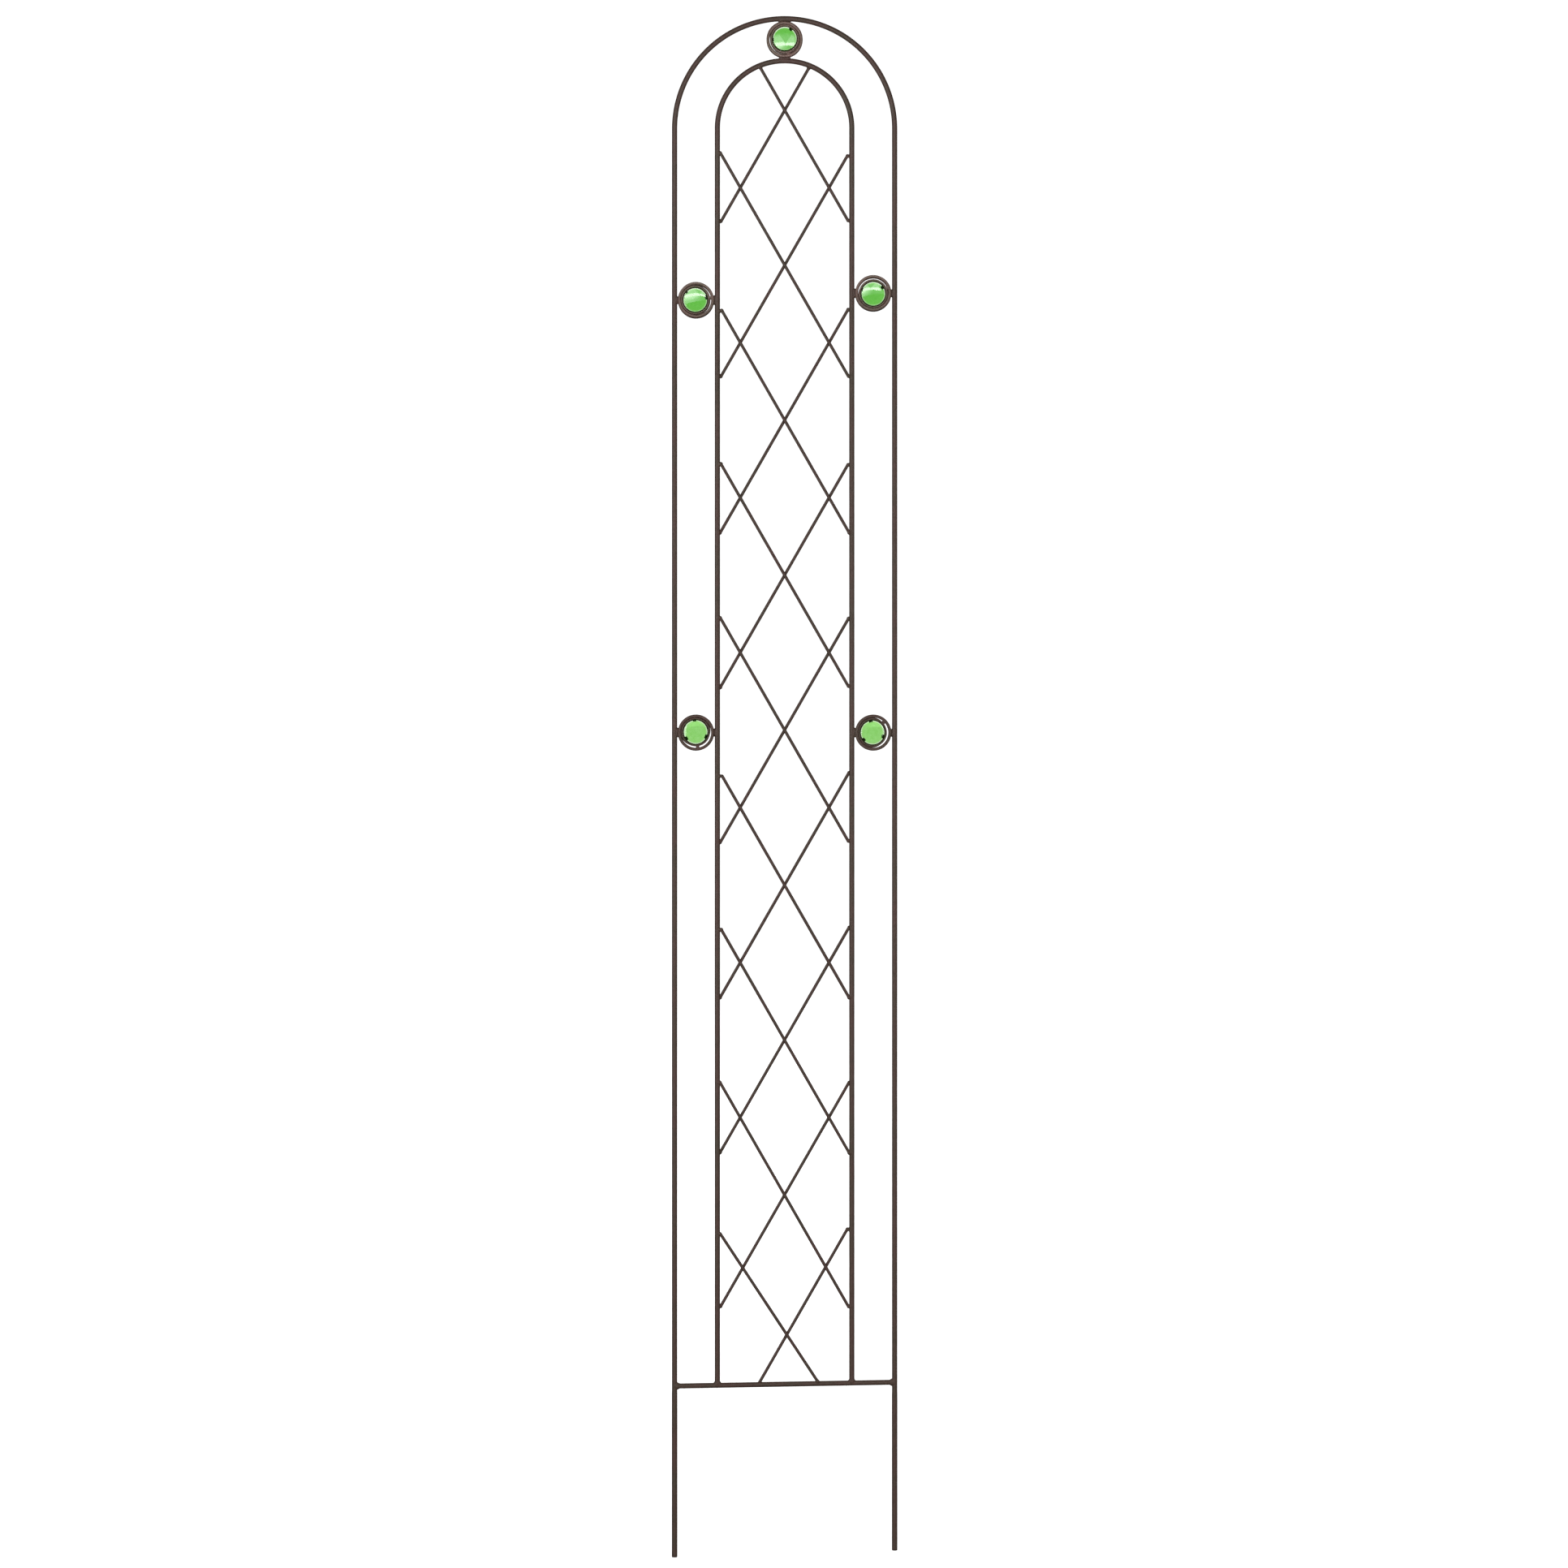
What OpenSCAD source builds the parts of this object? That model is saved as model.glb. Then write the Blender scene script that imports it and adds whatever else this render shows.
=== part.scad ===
// Arched garden obelisk: a flat climbing frame of welded round bar with five glass gems.
// Millimetres, +Z up. The front faces -Y. The origin is under the middle of the frame, level with
// the end of the longer, left leg. Every bar lies in the plane y = 0, apart from the lattice wires,
// which cross in two layers, one just in front of that plane and one just behind it.

/* [Frame] */
// Height from the end of the left leg to the top of the outer arch
overall_height = 1800; // [1780:1:1820]
// Diameter of the coated round bar of both frames and the crossbar
rod_d = 6.2; // [6:0.1:6.6]
// Outer frame, centre to centre of its posts
outer_width = 257; // [256.5:0.5:259]
// Inner frame, centre to centre of its posts
inner_width = 157; // [155:1:158]
// How much shorter the right leg was cut
right_leg_short = 8; // [0:1:10]
// Diameter of the legs, where the coat is thicker
leg_d = 6.5; // [6.3:0.1:6.7]
// Height on the posts up to which the thicker coat runs
leg_top = 190; // [170:1:192]

/* [Crossbar] */
// Height of the crossbar's axis at the middle of the frame
crossbar_z = 202; // [201:0.5:206]
// How far the crossbar rises towards the right, in degrees
crossbar_tilt = 1; // [0:0.1:1.2]
// Gap left at each butt end, which the weld fills
butt_gap = 0.3; // [0.2:0.1:0.5]

/* [Lattice] */
// Diameter of the coated lattice wire
wire_d = 3.7; // [3.4:0.1:3.9]
// Height between one crossing on the centreline and the next
lattice_pitch = 181; // [179:0.5:182]
// Lean of the wires from upright, in degrees
wire_lean = 29.8; // [29:0.1:30.5]
// Depth of the first crossing below the top of the outer arch
first_crossing_drop = 110; // [106:1:114]
// Lean of the last front wire, which lands further along the crossbar
last_front_lean = 33.4; // [30:0.1:34]
// How far the last front wire is set above the regular pitch
last_front_lift = 22; // [14:1:24]
// How far the last back wire is set above the regular pitch
last_back_lift = 13; // [10:1:16]
// Space between the front and the back layer where wires cross
layer_gap = 0.1; // [0.1:0.05:0.2]

/* [Gems] */
// Outside diameter of the round band that holds each gem between the frames
ring_od = 42.4; // [41.5:0.1:42.8]
// Wall of that band
ring_wall = 3.5; // [3:0.1:3.6]
// Front-to-back depth of that band
ring_depth = 10; // [10:0.5:12]
// Outside diameter of the bezel inside it
bezel_od = 33.6; // [33.4:0.1:33.8]
// Wall of the bezel
bezel_wall = 2.2; // [1.9:0.1:2.3]
// Front-to-back depth of the bezel
bezel_depth = 9; // [8.5:0.5:9.5]
// Glass thickness at its middle
glass_thickness = 10; // [9:0.5:10]
// Glass thickness at its rim
glass_rim = 3.2; // [2.6:0.2:4]
// Height of the right upper gem above the ground
upper_gem_z = 1476; // [1440:1:1500]
// How much lower the left upper gem sits
upper_gem_drop = 8; // [0:1:10]
// Height of the two lower gems
lower_gem_z = 963; // [940:1:990]

/* [Hidden] */
$fn = 128;

WIRES = 9;
SIDES = [-1, 1];
coat = [0.31, 0.26, 0.23];
glass_green = [0.42, 0.78, 0.33, 0.6];

// Frame
rod_r = rod_d / 2;
leg_taper = 5;
outer_apex_z = overall_height - rod_r;
outer_x = outer_width / 2;
outer_spring_z = outer_apex_z - outer_x;
ring_fit = 0.3;
inner_apex_z = outer_apex_z - rod_d - ring_od - 2 * ring_fit;
inner_x = inner_width / 2;
inner_spring_z = inner_apex_z - inner_x;

// Height of the crossbar's axis at x
function bar_z(x) = crossbar_z + x * tan(crossbar_tilt);

// Lattice: row 1 is the topmost
wire_r = wire_d / 2;
layer_y = wire_r + layer_gap / 2;
upper_reach = rod_r + 2;
lower_reach = rod_r + 1.2;
arch_reach = rod_r + 0.6;
first_crossing_z = overall_height - first_crossing_drop;

function is_last(row) = row == WIRES;
function lean(side, row) = is_last(row) && side < 0 ? last_front_lean : wire_lean;
function lift(side, row) = !is_last(row) ? 0 : side < 0 ? last_front_lift : last_back_lift;

// Height at which a wire crosses the centreline
function centre_z(side, row) = first_crossing_z - (row - 1) * lattice_pitch + lift(side, row);

// Length of a wire from the centreline up to its end at the post, or at the arch for the first
function reach_to_arch(h, a) = sqrt(pow(inner_x - arch_reach, 2) - pow(h * sin(a), 2)) - h * cos(a);
function reach_up(side, row) =
    row == 1 ? reach_to_arch(centre_z(side, row) - inner_spring_z, lean(side, row))
             : (inner_x - upper_reach) / sin(lean(side, row));

// Length of a wire from the centreline down to its end at the post, or at the crossbar for the last
function reach_to_bar(side, z, a) =
    (z - crossbar_z - lower_reach) / (cos(a) - side * sin(a) * tan(crossbar_tilt));
function reach_down(side, row) =
    is_last(row) ? reach_to_bar(side, centre_z(side, row), lean(side, row))
                 : (inner_x - lower_reach) / sin(lean(side, row));

// Where front wire i crosses back wire j, as [x, z]
function crossing(i, j) =
    let (ta = tan(lean(-1, i)), tb = tan(lean(1, j)), za = centre_z(-1, i), zb = centre_z(1, j))
    let (z = (za * ta + zb * tb) / (ta + tb))
    [(za - z) * ta, z];

// Gems: name, side, height, direction of the bezel's gap, of its tack weld and of its first tab
GEMS = [
    ["top",         0,  inner_apex_z + rod_r + ring_fit + ring_od / 2, 250, 285, 61],
    ["upper_left",  -1, upper_gem_z - upper_gem_drop,                  0,   8,   15],
    ["upper_right", 1,  upper_gem_z,                                   95,  20,  38],
    ["lower_left",  -1, lower_gem_z,                                   295, 277, 95],
    ["lower_right", 1,  lower_gem_z,                                   355, 45,  99],
];
function gem_x(gem) = gem[1] * (outer_x + inner_x) / 2;

ring_id = ring_od - 2 * ring_wall;
bezel_id = bezel_od - 2 * bezel_wall;
bezel_shift = (ring_id - bezel_od) / 2 - 0.1;
edge_chamfer = 0.5;
glass_d = bezel_id - 0.4;
glass_sag = (glass_thickness - glass_rim) / 2;
glass_r = (pow(glass_d / 2, 2) + pow(glass_sag, 2)) / (2 * glass_sag);
tab_length = 2.8;
tab_width = 4.5;
tab_thickness = 1.3;
tab_tip_r = bezel_id / 2 - tab_length;
seat_gap = 0.02;
tab_seat_z = glass_r - glass_thickness / 2 - sqrt(pow(glass_r, 2) - pow(tab_tip_r, 2)) - seat_gap;

// Welds
crossbar_weld_r = 4.8;
crossbar_weld_stand = rod_r + 1;
ring_weld_r = 2.5;
ring_weld_length = 9;
tack_r = 1.7;
tack_depth = 3;
tack_forward = 3.6;
wire_weld_r = 2.7;
crossing_weld_r = 2.4;
crossing_weld_depth = 2.6;

// A half-round arch, in the plane of the frame
module arch(apex, radius) {
    translate([0, 0, apex - radius]) rotate([90, 0, 0])
        rotate_extrude(angle = 180, $fn = 256) translate([radius, 0]) circle(d = rod_d);
}

// An upright post at x, from height foot to height top
module post(x, foot, top) {
    translate([x, 0, foot]) cylinder(d = rod_d, h = top - foot);
}

// An outer post at x with its thicker leg, from height foot to the arch
module legged_post(x, foot) {
    translate([x, 0, 0]) rotate_extrude()
        polygon([
            [0, foot], [leg_d / 2, foot], [leg_d / 2, leg_top], [rod_r, leg_top + leg_taper],
            [rod_r, outer_spring_z], [0, outer_spring_z]
        ]);
}

module outer_frame_rod() {
    color(coat) {
        legged_post(-outer_x, 0);
        legged_post(outer_x, right_leg_short);
        arch(outer_apex_z, outer_x);
    }
}

// The inner frame's posts are cut along the top of the crossbar
module inner_frame_rod() {
    below = 4 * rod_d;
    foot = crossbar_z - rod_d;
    color(coat) difference() {
        union() {
            for (side = SIDES) post(side * inner_x, foot, inner_spring_z);
            arch(inner_apex_z, inner_x);
        }
        translate([0, 0, crossbar_z]) rotate([0, -crossbar_tilt, 0])
            translate([0, 0, rod_r + butt_gap - below / 2])
                cube([outer_width, below, below], center = true);
    }
}

// The crossbar's shape, of any length
module crossbar_line(length = outer_width) {
    translate([0, 0, crossbar_z]) rotate([0, 90 - crossbar_tilt, 0])
        cylinder(d = rod_d, h = length, center = true);
}

module crossbar() {
    color(coat) crossbar_line(outer_width - rod_d - 2 * butt_gap);
}

// One lattice wire: side -1 is the front layer, leaning left, and side 1 the back layer, leaning right
module wire(side, row) {
    translate([0, side * layer_y, centre_z(side, row)]) rotate([0, side * lean(side, row), 0])
        translate([0, 0, -reach_down(side, row)])
            cylinder(d = wire_d, h = reach_down(side, row) + reach_up(side, row));
}

module front_wire(row) {
    color(coat) wire(-1, row);
}

module back_wire(row) {
    color(coat) wire(1, row);
}

// Stands the gem's own axes, with +Z to the front, at the gem's place in the frame
module at_gem(gem) {
    translate([gem_x(gem), 0, gem[2]]) rotate([90, 0, 0]) children();
}

// The bezel is pushed to one side of its ring, away from the gap
module at_bezel(gem) {
    at_gem(gem) rotate([0, 0, gem[3]]) translate([-bezel_shift, 0, 0]) rotate([0, 0, -gem[3]])
        children();
}

// A short tube with chamfered edges, centred on the origin
module band(od, wall, depth) {
    c = edge_chamfer;
    rotate_extrude() translate([od / 2 - wall, -depth / 2])
        polygon([
            [c, 0], [wall - c, 0], [wall, c], [wall, depth - c],
            [wall - c, depth], [c, depth], [0, depth - c], [0, c]
        ]);
}

module ring(gem) {
    color(coat) at_gem(gem) band(ring_od, ring_wall, ring_depth);
}

// The bezel with the three tabs behind the glass
module bezel(gem) {
    color(coat) at_bezel(gem) {
        band(bezel_od, bezel_wall, bezel_depth);
        for (turn = [0, 120, 240])
            rotate([0, 0, gem[5] + turn])
                translate([tab_tip_r, -tab_width / 2, tab_seat_z - tab_thickness])
                    cube([tab_length + bezel_wall / 2, tab_width, tab_thickness]);
    }
}

// The ball whose skin is the dome on one face of a gem
module dome(face) {
    translate([0, 0, face * (glass_thickness / 2 - glass_r)]) sphere(r = glass_r);
}

// A lens of two equal domes with an upright rim
module glass(gem) {
    color(glass_green) at_bezel(gem) intersection() {
        cylinder(d = glass_d, h = glass_thickness, center = true);
        dome(1);
        dome(-1);
    }
}

// The beads at both ends of the crossbar and at the feet of the inner frame
module crossbar_welds() {
    color(coat) for (side = SIDES) {
        difference() {
            translate([side * (outer_x - crossbar_weld_stand), 0, bar_z(side * outer_x)])
                sphere(r = crossbar_weld_r);
            post(side * outer_x, 0, outer_spring_z);
            crossbar_line();
        }
        difference() {
            translate([side * inner_x, 0, bar_z(side * inner_x) + crossbar_weld_stand])
                sphere(r = crossbar_weld_r);
            post(side * inner_x, 0, inner_spring_z);
            crossbar_line();
        }
    }
}

// A straight bead along +Z
module bead() {
    cylinder(r = ring_weld_r, h = ring_weld_length, center = true);
}

// A gem's ring filled in, to cut the beads to its outside
module ring_blank(gem) {
    at_gem(gem) cylinder(d = ring_od, h = 2 * ring_depth, center = true);
}

// The two beads above and below the top gem's ring
module top_ring_welds(gem) {
    for (side = SIDES) difference() {
        translate([0, 0, gem[2] + side * (ring_od + ring_fit) / 2]) rotate([0, 90, 0]) bead();
        ring_blank(gem);
        arch(side > 0 ? outer_apex_z : inner_apex_z, side > 0 ? outer_x : inner_x);
    }
}

// The two beads left and right of a ring between two posts
module side_ring_welds(gem) {
    for (outward = SIDES) {
        x = gem[1] * (outward > 0 ? outer_x : inner_x);
        face = x - gem[1] * outward * rod_r;
        edge = gem_x(gem) + gem[1] * outward * ring_od / 2;
        difference() {
            translate([(face + edge) / 2, 0, gem[2]]) bead();
            ring_blank(gem);
            post(x, 0, inner_spring_z);
        }
    }
}

module ring_welds() {
    color(coat) {
        top_ring_welds(GEMS[0]);
        for (i = [1 : len(GEMS) - 1]) side_ring_welds(GEMS[i]);
    }
}

// One tack holds each bezel in its ring
module bezel_tack_welds() {
    color(coat) for (gem = GEMS) difference() {
        at_gem(gem) rotate([0, 0, gem[4]])
            translate([(ring_id + bezel_od) / 4 - bezel_shift * cos(gem[4] - gem[3]) / 2, 0, tack_forward])
                cylinder(r = tack_r, h = tack_depth, center = true);
        ring(gem);
        at_bezel(gem) cylinder(d = bezel_od, h = 2 * bezel_depth, center = true);
    }
}

// The bead at one end of a wire, cut to the wire and to the bar it meets
module wire_end_weld(side, row, reach) {
    difference() {
        translate([0, side * layer_y, centre_z(side, row)]) rotate([0, side * lean(side, row), 0])
            translate([0, 0, reach]) sphere(r = wire_weld_r);
        wire(side, row);
        children();
    }
}

// The beads at both ends of every wire
module wire_end_welds() {
    color(coat) for (side = SIDES) for (row = [1 : WIRES]) {
        up = reach_up(side, row);
        down = reach_down(side, row);
        wire_end_weld(side, row, up)
            if (row == 1) arch(inner_apex_z, inner_x);
            else post(side * inner_x, 0, inner_spring_z);
        wire_end_weld(side, row, -down)
            if (is_last(row)) crossbar_line();
            else post(-side * inner_x, 0, inner_spring_z);
    }
}

// The nugget where a front wire crosses a back wire
module crossing_weld(i, j) {
    at = crossing(i, j);
    difference() {
        translate([at[0], 0, at[1]]) rotate([90, 0, 0])
            cylinder(r = crossing_weld_r, h = crossing_weld_depth, center = true);
        wire(-1, i);
        wire(1, j);
    }
}

module wire_crossing_welds() {
    color(coat) for (row = [1 : WIRES]) {
        crossing_weld(row, row);
        if (row > 1) {
            crossing_weld(row, row - 1);
            crossing_weld(row - 1, row);
        }
    }
}

outer_frame_rod();
inner_frame_rod();
crossbar();
for (row = [1 : WIRES]) {
    front_wire(row);
    back_wire(row);
}
for (gem = GEMS) {
    ring(gem);
    bezel(gem);
    glass(gem);
}
crossbar_welds();
ring_welds();
bezel_tack_welds();
wire_end_welds();
wire_crossing_welds();
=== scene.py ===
import math

import bpy
import numpy as np
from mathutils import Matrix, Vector


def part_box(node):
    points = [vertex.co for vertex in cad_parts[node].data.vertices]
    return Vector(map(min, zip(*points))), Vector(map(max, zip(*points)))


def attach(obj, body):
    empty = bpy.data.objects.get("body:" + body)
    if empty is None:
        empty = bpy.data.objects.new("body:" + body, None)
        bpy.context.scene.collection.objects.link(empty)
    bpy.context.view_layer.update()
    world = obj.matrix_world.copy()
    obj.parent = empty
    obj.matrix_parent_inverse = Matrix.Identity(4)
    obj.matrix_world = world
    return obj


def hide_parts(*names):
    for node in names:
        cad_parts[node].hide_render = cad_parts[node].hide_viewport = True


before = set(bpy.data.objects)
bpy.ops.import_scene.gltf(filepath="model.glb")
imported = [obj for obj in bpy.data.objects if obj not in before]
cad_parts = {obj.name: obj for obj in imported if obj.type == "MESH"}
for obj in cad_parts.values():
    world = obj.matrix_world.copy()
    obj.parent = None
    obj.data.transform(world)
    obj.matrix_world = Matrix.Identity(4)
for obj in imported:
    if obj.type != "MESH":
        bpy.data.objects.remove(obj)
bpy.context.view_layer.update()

# Lengths are millimetres until make_piece() turns them into metres, apart from the studio's.
MM = 0.001


def cad_box(node):
    """The lowest and the highest corner of a CAD node, in millimetres."""
    low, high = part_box(node)
    return np.array(low) / MM, np.array(high) / MM


def cad_middle(node):
    low, high = cad_box(node)
    return (low + high) / 2


def cad_size(node):
    low, high = cad_box(node)
    return high - low


# Bars
ROD_R = cad_size("inner_frame_rod")[1] / 2
LEG_R = cad_size("outer_frame_rod")[1] / 2
LEG_TOP, LEG_TAPER = 190.0, 5.0
OUTER_X = cad_box("outer_frame_rod")[1][0] - LEG_R
OUTER_APEX = cad_box("outer_frame_rod")[1][2] - ROD_R
INNER_X = cad_box("inner_frame_rod")[1][0] - ROD_R
INNER_APEX = cad_box("inner_frame_rod")[1][2] - ROD_R
OUTER_SPRING = OUTER_APEX - OUTER_X
INNER_SPRING = INNER_APEX - INNER_X
RIGHT_FOOT = 8.0
BAR_Z, BAR_TILT = cad_middle("crossbar")[2], math.radians(1.0)
CROSSBAR_R = ROD_R - 0.08

# Lattice
WIRE_R, LAYER_Y = 1.85, cad_middle("back_wire_1")[1]
PITCH, FIRST_CROSSING = 181.0, 1690.0
LEAN, LAST_FRONT_LEAN = math.radians(29.8), math.radians(33.4)
LAST_LIFT = {-1: 22.0, 1: 13.0}
ROWS = 9
# How near the wires' end faces come to the bar they are welded to, hand-cut so never the same
UPPER_STOP, LOWER_STOP = (2.4, 5.4), (2.8, 4.5)
ARCH_STOP, CROSSBAR_STOP = ROD_R + 0.2, ROD_R - 0.3
# Points round a bar or a wire, and how uneven its coat is
BAR_SIDES, BAR_COAT = 32, 0.035
WIRE_SIDES, WIRE_COAT = 20, 0.03

# Gems: the outside radius, the wall and the front-to-back depth of their bands. The rings are a
# hair shallower than in the CAD, as their beads stand proud of them.
RING_R, RING_WALL = cad_size("ring_top")[0] / 2, 3.5
RING_DEPTH, RING_ROUND = cad_size("ring_top")[1] - 0.04, 1.5
BEZEL_R, BEZEL_WALL = cad_size("bezel_top")[0] / 2, 2.2
BEZEL_DEPTH = cad_size("bezel_top")[1]
CLEARANCE = RING_R - RING_WALL - BEZEL_R
GLASS_R, GLASS_THICK = cad_size("glass_top")[0] / 2, cad_size("glass_top")[1]
GLASS_RIM, GLASS_EDGE = 3.2, 0.5
# How far round from the touching side the seam is full, and where it has thinned to nothing
SEAM_FULL, SEAM_END = 78.0, 128.0
# Each gem's name, the directions of its tack weld and of its first tab, and the share of the
# gap's widest part that braze and coat have filled
GEMS = [
    ("top", 285, 61, 0.35),
    ("upper_left", 8, 15, 0.4),
    ("upper_right", 20, 38, 0.2),
    ("lower_left", 277, 95, 0.0),
    ("lower_right", 45, 99, 0.0),
]
# The sizes of a bezel's three tabs, from the first one on round
TAB_SIZES = {"lower": (0.85, 1.0, 0.95), "upper": (1.0, 0.8, 0.75)}

# Welds: how far the skin stands proud at a lump, and how far it sinks between lumps and at its end
SKIN_RISE, SKIN_SINK, EDGE_SINK = 0.13, 0.06, 0.4
WELD_STEP, QUICK_STEP = 0.26, 0.42

# The first seed of each kind of piece
SEEDS = {
    "outer bar": 11, "inner bar": 12, "crossbar": 13, "wires": 20, "gems": 60, "wire ends": 200,
    "crossings": 400, "top ring": 500, "side rings": 520, "tacks": 560, "seams": 580,
    "post joints": 600, "foot joints": 610, "foot spatter": 640, "post spatter": 650, "cuts": 900,
}

# The studio, in metres. The light bank is a plane just in front of the gems. Its bright band fades
# in and out over the heights of its two edges, with dimmer paper above it up to PAPER_END. The
# LOW_ values shape the dim paper that is below the band on the left.
BANK_Y, BANK_LOW, BANK_HIGH, BANK_HALF = -0.355, 1.36, 2.10, 0.60
LOWER_EDGE, UPPER_EDGE, PAPER_END = (1.643, 1.665), (1.715, 1.78), (1.88, 2.09)
RIGHT_END = (0.28, 0.42)
NOTCH_X, NOTCH_SLOPE, NOTCH = 0.02, 1.6, (1.665, 1.725)
LOW_TILT, LOW_START, LOW_RISE, LOW_LEFT = -0.16, (1.485, 1.51), (1.49, 1.65), (-0.24, 0.12)
BANK_POWER = 15.0
NEAR_LIGHT = (-0.07, -0.20, 1.64)
AIM = (0, 0, 0.9)
# Name, place, size and power of each softbox, and whether the coat mirrors it
SOFTBOXES = [
    ("front_fill", (0.3, -3.6, 1.15), (2.2, 2.6), 96, False),
    ("left_strip", (-2.2, -2.0, 1.2), (0.5, 2.4), 24, True),
    ("right_strip", (2.4, -2.2, 1.4), (0.5, 2.4), 10, True),
    ("back_fill", (-0.4, 2.6, 1.6), (2.0, 2.0), 40, False),
]
SWEEP_RISE, SWEEP_RADIUS, SWEEP_BACK, SWEEP_HALF = 7.0, 1.6, 3.4, 12.0
# The camera's distance, eye height and sensor, and the side and middle of the square that it sees
DISTANCE, EYE, SENSOR = 5.0, 0.96, 36
SEEN, SEEN_X, SEEN_Z = 1.8315, -0.0007, 0.903


def ring_place(name):
    x, _, z = cad_middle(f"ring_{name}")
    return x, z


def bezel_place(name):
    """The bezel touches its ring on one side, so its middle is off the ring's."""
    x, _, z = cad_middle(f"bezel_{name}")
    return x, z


def gap_direction(name):
    """The direction from the bezel's middle to the ring's, where the gap is widest."""
    (x, z), (bx, bz) = ring_place(name), bezel_place(name)
    return math.atan2(z - bz, x - bx)


def bezel_shift(name):
    (x, z), (bx, bz) = ring_place(name), bezel_place(name)
    return math.hypot(z - bz, x - bx)


def bar_z(x):
    return BAR_Z + x * math.tan(BAR_TILT)


def lean(side, row):
    return LAST_FRONT_LEAN if row == ROWS and side < 0 else LEAN


def centre_z(side, row):
    return FIRST_CROSSING - (row - 1) * PITCH + (LAST_LIFT[side] if row == ROWS else 0)


def wire_ends(side, row):
    """The lower and the upper end of a wire's axis."""
    a, z = lean(side, row), centre_z(side, row)
    cut = np.random.default_rng(SEEDS["cuts"] + row * 2 + (side > 0))
    upper_stop, lower_stop = cut.uniform(*UPPER_STOP), cut.uniform(*LOWER_STOP)
    if row == 1:
        h = z - INNER_SPRING
        up = math.sqrt((INNER_X - ARCH_STOP) ** 2 - (h * math.sin(a)) ** 2) - h * math.cos(a)
    else:
        up = (INNER_X - upper_stop) / math.sin(a)
    if row == ROWS:
        down = (z - BAR_Z - CROSSBAR_STOP) / (math.cos(a) - side * math.sin(a) * math.tan(BAR_TILT))
    else:
        down = (INNER_X - lower_stop) / math.sin(a)
    along = np.array([side * math.sin(a), 0, math.cos(a)])
    middle = np.array([0, side * LAYER_Y, z])
    return middle - down * along, middle + up * along


def crossing(i, j):
    """Where front wire i crosses back wire j, between the two layers."""
    ta, tb = math.tan(lean(-1, i)), math.tan(lean(1, j))
    za, zb = centre_z(-1, i), centre_z(1, j)
    z = (za * ta + zb * tb) / (ta + tb)
    return np.array([(za - z) * ta, 0, z])


# ---------------------------------------------------------------- noise and meshes


def waves(points, size, seed, count=7):
    """Smooth noise between about -1 and 1, as a sum of sine waves of about the given size."""
    rng = np.random.default_rng(seed)
    out = np.zeros(points.shape[:-1])
    for _ in range(count):
        direction = rng.normal(size=3)
        direction /= np.linalg.norm(direction)
        length = size * rng.uniform(0.7, 1.5)
        out += np.sin(points @ direction * (2 * math.pi / length) + rng.uniform(0, 2 * math.pi))
    return out / math.sqrt(count * 2)


def make_piece(name, verts, faces, material, nodes, slot):
    """A smooth mesh piece in place of CAD nodes, from points in millimetres."""
    mesh = bpy.data.meshes.new(name)
    mesh.from_pydata((np.asarray(verts) * MM).tolist(), [], faces)
    mesh.polygons.foreach_set("use_smooth", [True] * len(mesh.polygons))
    mesh.validate()
    mesh.update()
    obj = bpy.data.objects.new(name, mesh)
    bpy.context.scene.collection.objects.link(obj)
    mesh.materials.append(material)
    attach(obj, "root")
    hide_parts(*nodes)
    return obj


def grid_faces(rings, sides, closed_rings=False):
    """Quads between successive rings of points."""
    faces = []
    last = rings if closed_rings else rings - 1
    for i in range(last):
        a, b = i * sides, ((i + 1) % rings) * sides
        for j in range(sides):
            k = (j + 1) % sides
            faces.append((a + j, a + k, b + k, b + j))
    return faces


def tube(path, radii, sides, coat, seed):
    """A round bar along a path in a plane of constant y, closed at both ends."""
    path, radii = np.asarray(path, float), np.asarray(radii, float)
    tangent = np.gradient(path, axis=0)
    tangent /= np.linalg.norm(tangent, axis=1)[:, None]
    across = np.cross(tangent, (0, 1, 0))
    angle = np.arange(sides) / sides * 2 * math.pi
    spokes = (
        across[:, None, :] * np.cos(angle)[None, :, None]
        + np.array((0, 1, 0))[None, None, :] * np.sin(angle)[None, :, None]
    )
    points = path[:, None, :] + spokes * radii[:, None, None]
    swell = coat * (0.6 * waves(points, 22, seed) + 0.4 * waves(points, 5, seed + 1))
    swell = np.clip(swell, -coat, coat) - coat
    points = points + spokes * (swell * (radii / radii.max())[:, None])[:, :, None]
    verts = points.reshape(-1, 3)
    faces = grid_faces(len(path), sides)
    verts = np.vstack([verts, path[0], path[-1]])
    n = len(path) * sides
    for j in range(sides):
        k = (j + 1) % sides
        faces.append((k, j, n))
        faces.append((n - sides + j, n - sides + k, n + 1))
    return verts, faces


def soften_ends(path, radii, bite=0.45):
    """Adds a few rings at both ends of a bar, so that its cut edges are rounded off."""
    def end(p, q, r):
        step = (q - p) / np.linalg.norm(q - p)
        return [(p, r - bite), (p + step * bite * 0.25, r - bite * 0.45), (p + step * bite, r)]

    first = end(path[0], path[1], radii[0])
    last = end(path[-1], path[-2], radii[-1])[::-1]
    points = [p for p, _ in first] + list(path[1:-1]) + [p for p, _ in last]
    return np.array(points), np.array([r for _, r in first] + list(radii[1:-1]) + [r for _, r in last])


def line(a, b, step):
    count = max(2, int(np.linalg.norm(np.subtract(b, a)) / step) + 1)
    t = np.linspace(0, 1, count)[:, None]
    return np.asarray(a) * (1 - t) + np.asarray(b) * t


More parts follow.
